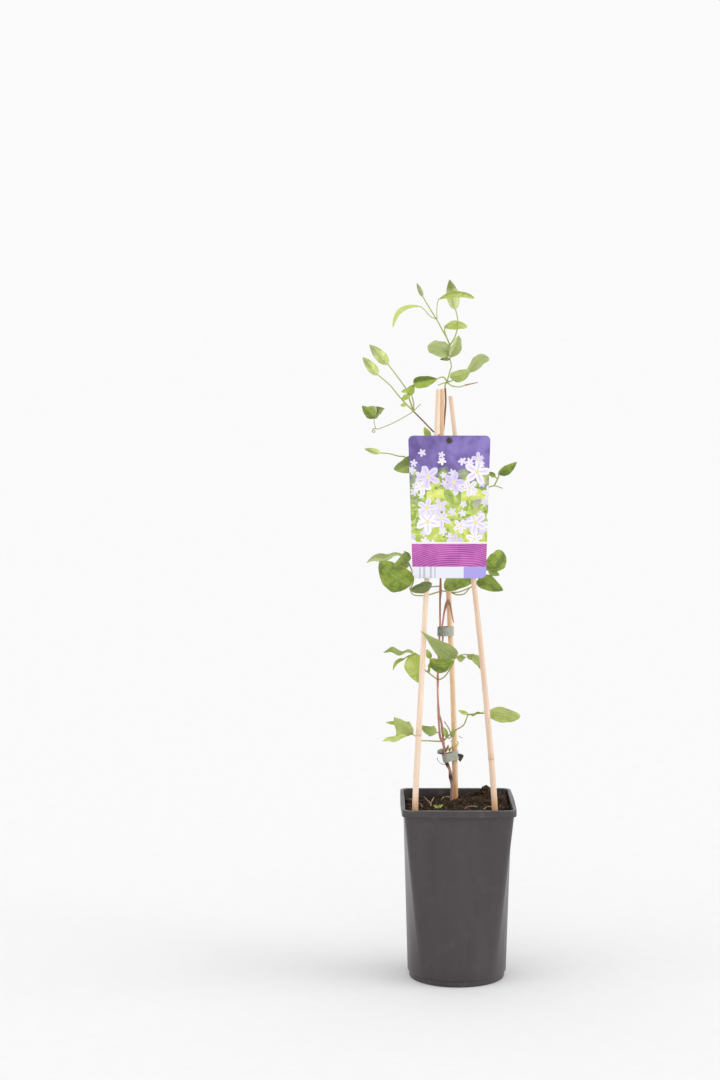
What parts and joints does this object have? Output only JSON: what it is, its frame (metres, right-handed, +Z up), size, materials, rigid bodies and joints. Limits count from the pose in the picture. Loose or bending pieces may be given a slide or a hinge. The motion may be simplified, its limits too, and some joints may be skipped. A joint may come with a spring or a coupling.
{
  "type": "potted clematis plant",
  "caption": "Young climbing clematis in a tall square pot, tied to a tipi of bamboo canes, with closed buds and a hang label. Stands on its pot.",
  "frame": {"origin": "centre of the pot's foot, on the surface it stands on", "axes": "+Z up the plant, -Y towards the front that the hang label faces, +X to the right seen from the front"},
  "size_m": [0.1894, 0.136, 0.8311],
  "materials": {
    "pot": "matte",
    "soil": "matte",
    "bamboo": "satin",
    "bark": "matte",
    "tape": "satin",
    "card": "satin",
    "fastener": "satin",
    "leaf": "satin",
    "leaf_deep": "satin",
    "leaf_grey": "satin",
    "young_green": "satin"
  },
  "bodies": {
    "root": {"pot": "pot", "soil": "soil", "cane_left": "bamboo", "cane_right": "bamboo", "cane_back": "bamboo", "vine_stem": "bark", "tie_lower": "tape", "tie_upper": "tape", "label_card": "card", "label_fastener": "fastener", "seedling": "young_green", "low_leaves_left": "leaf", "low_leaf_middle": "leaf", "low_sprig": "leaf", "low_leaves_right": "leaf", "middle_leaves_front": "leaf", "middle_leaves_left": "leaf", "upper_leaves_left": "leaf_deep", "upper_leaf_front": "leaf_grey", "upper_leaves_right": "leaf", "bud_beside_label": "leaf", "leaf_above_label": "leaf", "leaves_beside_label": "leaf_deep", "left_bud_spray": "young_green", "top_shoot": "young_green"}
  },
  "joints": []
}
